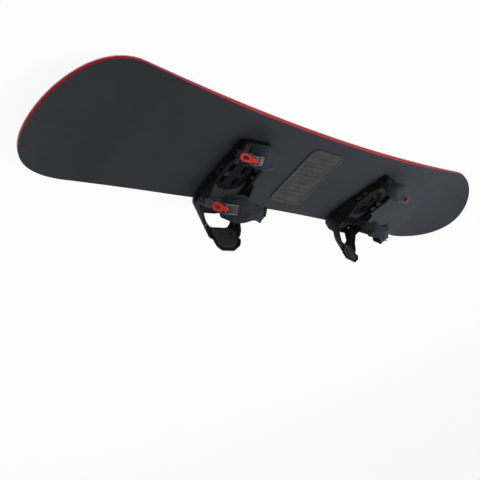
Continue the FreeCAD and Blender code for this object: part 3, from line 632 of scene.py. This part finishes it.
def add_toe_cap(binding):
    """Moulded toe cap: a smooth dome with a thin rim and shallow moulded channels."""
    surface = strap_surface(binding, "toe", TOE)
    place, at, low, high = strap_rows(TOE, count=120)
    low, high = round_ends(at, low, high, first=9, last=12)
    rows = (place, at, low, high)
    thick = TOE["thick"]

    def height(inside, along, across):
        rise = 2.6 * (1 - 0.5 * (1 - ease(inside / 1.4)))       # rim
        rise += (thick - 2.6) * ease((inside - 2.2) / 10.0)     # shell
        rise -= 0.5 * dip(inside, 2.8, 0.8)                     # two moulded channels
        rise -= 0.7 * dip(inside, 11.0, 1.2)
        crown = math.sin(math.pi * min(max((along - 52) / 62, 0), 1)) ** 2
        return rise + 5.5 * crown * ease(inside / 16)           # dome over the toes

    cap = padded_mesh(binding + "_toe_cap_skin", surface, rows, height, columns=56)
    settle(cap, binding + "_toe_strap", "cap", materials["cap"], binding + "_toe_cap")


def add_highback_cushion(binding):
    """Quilted pad on the inside of the highback."""
    joint = joints[binding + "_highback_fold"]
    side = -Vector(joint["axis"])
    toward_toes = UP.cross(side)
    low_corner, high_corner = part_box(binding + "_highback_pad")
    centre = (low_corner + high_corner) / 2
    origin = Vector(joint["pos_m"])
    origin += side * (centre - origin).dot(side)
    corner, middle, back = HIGHBACK["corner"], HIGHBACK["middle"], HIGHBACK["back"]

    def wall(run):
        """Plan point and inward normal at a distance along the wall from its middle."""
        if abs(run) <= middle:
            return run, back, 0.0, 1.0
        turn = (abs(run) - middle) / corner
        sign = 1 if run > 0 else -1
        u = sign * (middle + corner * math.sin(turn))
        v = back + corner * (1 - math.cos(turn))
        return u, v, -sign * math.sin(turn), math.cos(turn)

    def surface(place, across, height):
        u, v, out_u, out_v = wall(place)
        u += out_u * height
        v += out_v * height
        foot = origin + side * (u * MM) + toward_toes * (v * MM)
        return Vector((foot.x, foot.y, origin.z + across * MM))

    reach = HIGHBACK["reach"]
    place = np.linspace(-reach, reach, 70)
    at = place + reach
    low = np.full(len(at), HIGHBACK["low"])
    high = smooth(np.interp(np.abs(place), HIGHBACK["top_at"], HIGHBACK["top"]), 12)
    low, high = round_ends(at, low, high, first=8, last=8)
    rows = (place, at, low, high)

    def height(inside, along, across):
        rise = 1.9 + 3.0 * ease((inside - 1.5) / 6.0)
        for line in HIGHBACK["channels"]:
            rise -= 1.0 * dip(across, line, 1.3) * ease((inside - 5) / 4)
        return rise

    body = binding + "_highback"
    cushion = padded_mesh(binding + "_highback_cushion", surface, rows, height, columns=56)
    settle(cushion, body, "foam", materials["lining"], binding + "_highback_pad")
    stitches = add_stitches(
        binding + "_highback_stitching", surface, rows, inset=2.4, height=height)
    settle(stitches, body, "foam", materials["thread"])


for binding in ("front", "rear"):
    add_ankle_cushion(binding)
    add_toe_cap(binding)
    add_highback_cushion(binding)


# ------------------------------------------------------------------- surroundings
FLOOR_SIZE = 120        # metres, so that no edge of it comes into view
FLOOR_GLOW = 0.92       # share of plain white in the floor as seen; the rest takes shadows
WORLD_LIGHT = 0.24      # strength of the even light from all round


def make_floor():
    """White floor that still shows the object's shadow."""
    bpy.ops.mesh.primitive_plane_add(size=FLOOR_SIZE)
    floor = bpy.context.object
    floor.name = "floor"
    material = bpy.data.materials.new("studio_floor")
    material.use_nodes = True
    tree = material.node_tree
    bsdf = tree.nodes["Principled BSDF"]
    bsdf.inputs["Roughness"].default_value = 0.9
    bsdf.inputs["Specular IOR Level"].default_value = 0.1
    bsdf.inputs["Base Color"].default_value = (0.9, 0.9, 0.9, 1)
    glow = tree.nodes.new("ShaderNodeEmission")
    glow.inputs["Color"].default_value = (1, 1, 1, 1)
    glow.inputs["Strength"].default_value = 1.0
    mix = tree.nodes.new("ShaderNodeMixShader")
    share = combine(tree, "MULTIPLY", seen_as_background(tree), FLOOR_GLOW)
    link(tree, share, mix.inputs["Fac"])
    link(tree, bsdf.outputs["BSDF"], mix.inputs[1])
    link(tree, glow.outputs["Emission"], mix.inputs[2])
    link(tree, mix.outputs["Shader"], tree.nodes["Material Output"].inputs["Surface"])
    floor.data.materials.append(material)
    floor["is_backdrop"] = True


def make_world():
    """Even dim light on the object, plain white where the world itself is seen."""
    world = bpy.data.worlds.new("studio")
    scene.world = world
    world.use_nodes = True
    tree = world.node_tree
    dim = tree.nodes["Background"]
    dim.inputs["Color"].default_value = (1, 1, 1, 1)
    dim.inputs["Strength"].default_value = WORLD_LIGHT
    white = tree.nodes.new("ShaderNodeBackground")
    white.inputs["Color"].default_value = (1, 1, 1, 1)
    white.inputs["Strength"].default_value = 1.0
    mix = tree.nodes.new("ShaderNodeMixShader")
    link(tree, seen_as_background(tree), mix.inputs["Fac"])
    link(tree, dim.outputs["Background"], mix.inputs[1])
    link(tree, white.outputs["Background"], mix.inputs[2])
    link(tree, mix.outputs["Shader"], tree.nodes["World Output"].inputs["Surface"])


def add_softbox(name, place, size, power):
    """Rectangular lamp at place, aimed at the middle of the board."""
    data = bpy.data.lights.new(name, "AREA")
    data.shape = "RECTANGLE"
    data.size, data.size_y = size
    data.energy = power
    lamp = bpy.data.objects.new(name, data)
    scene.collection.objects.link(lamp)
    lamp.location = place
    lamp.rotation_mode = "QUATERNION"
    lamp.rotation_quaternion = (-Vector(place)).to_track_quat("-Z", "Y")


VIEW_PLACE = (-1.26136, 0.63253, 0.85801)
VIEW_RIGHT = (0.70147, 0.59415, 0.39361)
VIEW_DOWN = (0.08409, -0.61742, 0.78213)
VIEW_LENS = 46.422      # mm on a 36 mm sensor


def make_camera():
    """The photograph's viewpoint: beside the nose, above the toe edge, rolled well over."""
    right = Vector(VIEW_RIGHT).normalized()
    down = Vector(VIEW_DOWN).normalized()
    ahead = right.cross(down).normalized()
    place = Vector(VIEW_PLACE)
    turn = Matrix((right, -down, -ahead)).transposed().to_4x4()
    data = bpy.data.cameras.new("camera")
    data.lens = VIEW_LENS
    data.sensor_width = 36
    data.clip_start = 0.05
    data.clip_end = 200
    camera = bpy.data.objects.new("camera", data)
    scene.collection.objects.link(camera)
    camera.matrix_world = Matrix.Translation(place) @ turn
    scene.camera = camera


make_floor()
make_world()
add_softbox("key", place=(1.9, 1.5, 2.4), size=(1.6, 1.6), power=52)
add_softbox("fill", place=(-2.4, 1.6, 2.0), size=(2.2, 2.2), power=22)
add_softbox("overhead", place=(0, -1.0, 3.2), size=(3.0, 2.0), power=34)
make_camera()
scene.view_settings.view_transform = "Standard"

sizes = {"cad": cad_box, "visual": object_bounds()}
{name: [list(corner) for corner in box] for name, box in sizes.items()}
